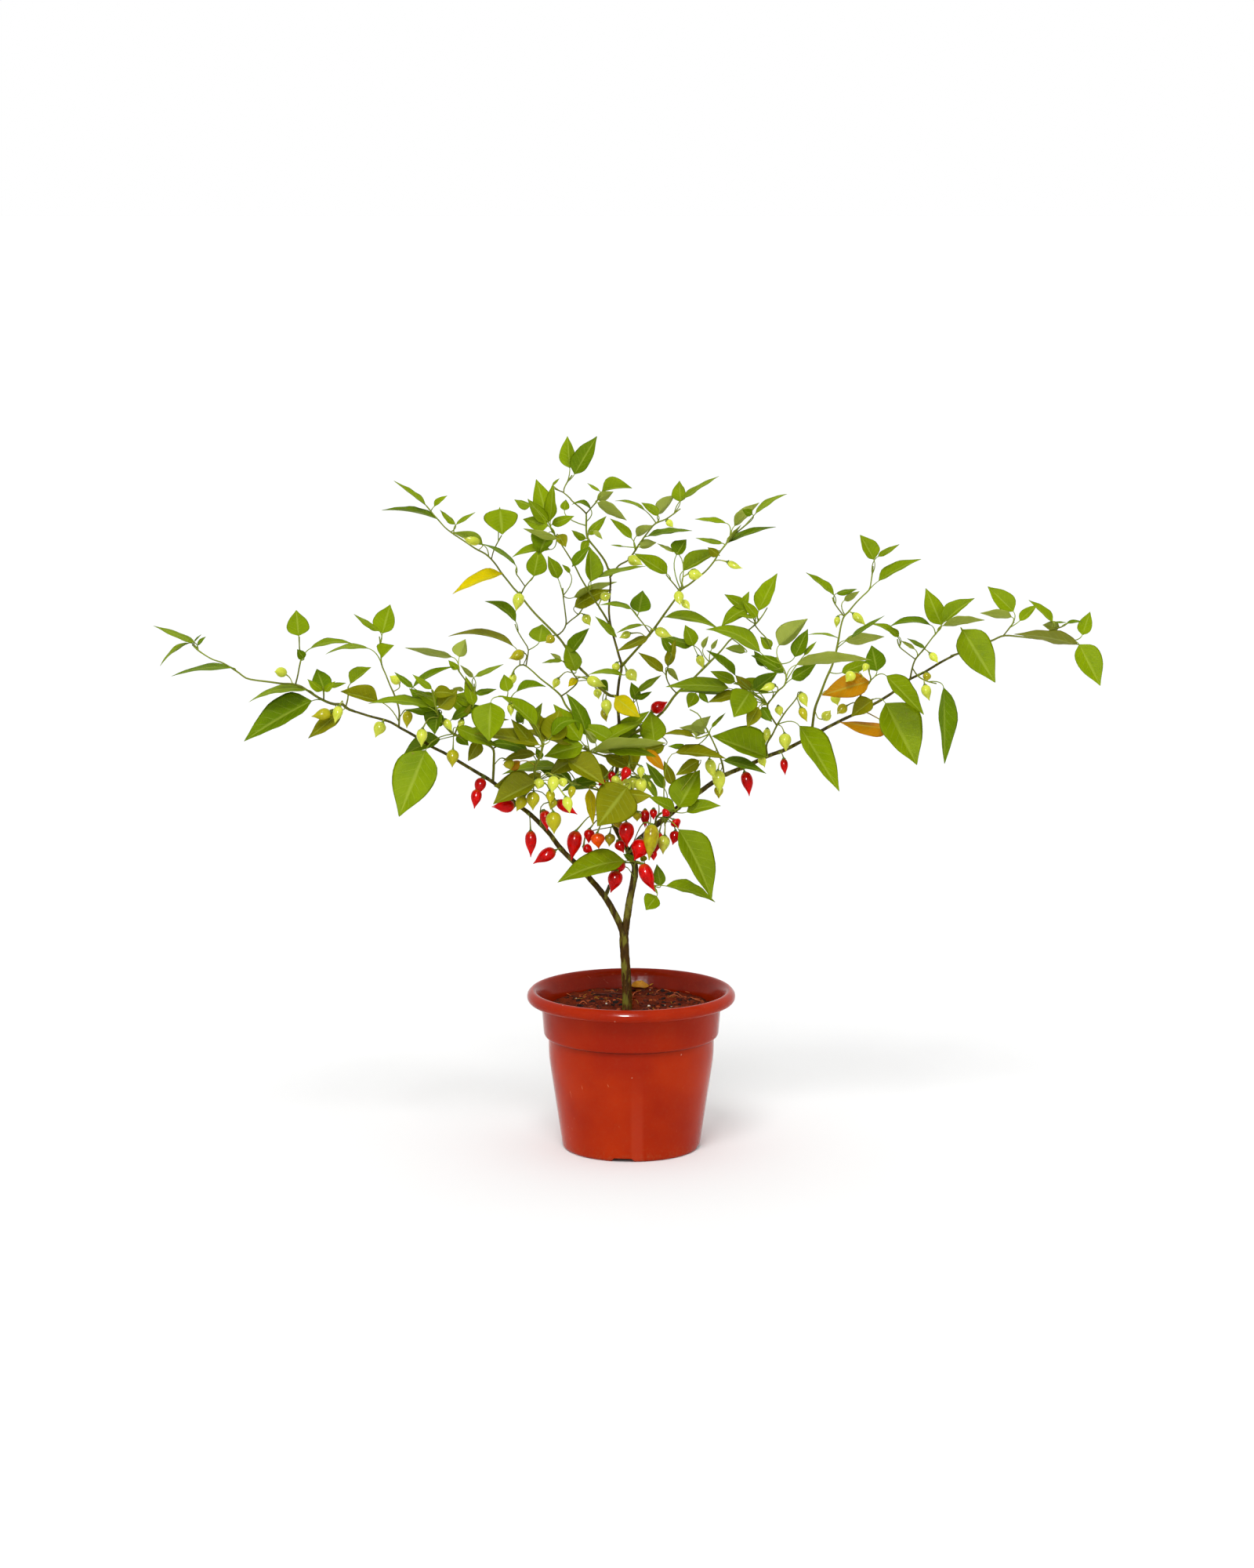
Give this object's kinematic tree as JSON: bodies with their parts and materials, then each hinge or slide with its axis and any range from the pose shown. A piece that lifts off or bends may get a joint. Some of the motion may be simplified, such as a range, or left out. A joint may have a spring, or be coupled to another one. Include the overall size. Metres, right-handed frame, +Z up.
{
  "type": "potted chilli pepper plant",
  "caption": "Chilli pepper plant with a forked woody stem, wide leafy sprays, green fruit and red fruit bunches, in a round soil-filled nursery pot.",
  "frame": {"origin": "centre of the pot's flat underside, on the surface that the pot stands on", "axes": "+Z up along the pot's axis, +X to the right along the plant's widest spread as seen from the front, -Y to the front"},
  "size_m": [0.8861, 0.2439, 0.6814],
  "materials": {
    "pot_plastic": "semi-gloss moulded plastic, brick red",
    "potting_soil": "rough dark bark and peat mix",
    "bark": "green to grey-brown woody stem, matt",
    "foliage": "satin leaf, bright green above, paler below",
    "unripe_fruit": "waxy pale green skin",
    "ripe_fruit": "glossy red skin"
  },
  "bodies": {
    "root": {"pot": "pot_plastic", "soil": "potting_soil", "woody_stems": "bark", "left_tip_spray": "foliage", "left_upper_spray": "foliage", "left_mid_spray": "foliage", "inner_left_spray": "foliage", "centre_spray": "foliage", "centre_low_spray": "foliage", "mid_left_spray": "foliage", "upper_left_spray": "foliage", "crown_spray": "foliage", "crown_left_spray": "foliage", "crown_right_spray": "foliage", "centre_right_spray": "foliage", "right_crown_spray": "foliage", "low_right_spray": "foliage", "low_spray": "foliage", "inner_right_spray": "foliage", "right_inner_spray": "foliage", "right_mid_spray": "foliage", "right_low_spray": "foliage", "right_upper_spray": "foliage", "right_tip_spray": "foliage", "pale_left_bunch": "unripe_fruit", "pale_centre_bunch": "unripe_fruit", "red_left_pair": "ripe_fruit", "red_lead_a": "ripe_fruit", "red_lead_b": "ripe_fruit", "red_lead_c": "ripe_fruit", "red_left_cluster": "ripe_fruit", "red_mid_cluster": "ripe_fruit", "red_centre_cluster": "ripe_fruit", "red_right_cluster": "ripe_fruit", "red_fork_cluster": "ripe_fruit", "red_low_cluster": "ripe_fruit", "red_crown_single": "ripe_fruit", "red_inner_bunch": "ripe_fruit", "red_right_a": "ripe_fruit", "red_right_b": "ripe_fruit"}
  },
  "joints": []
}
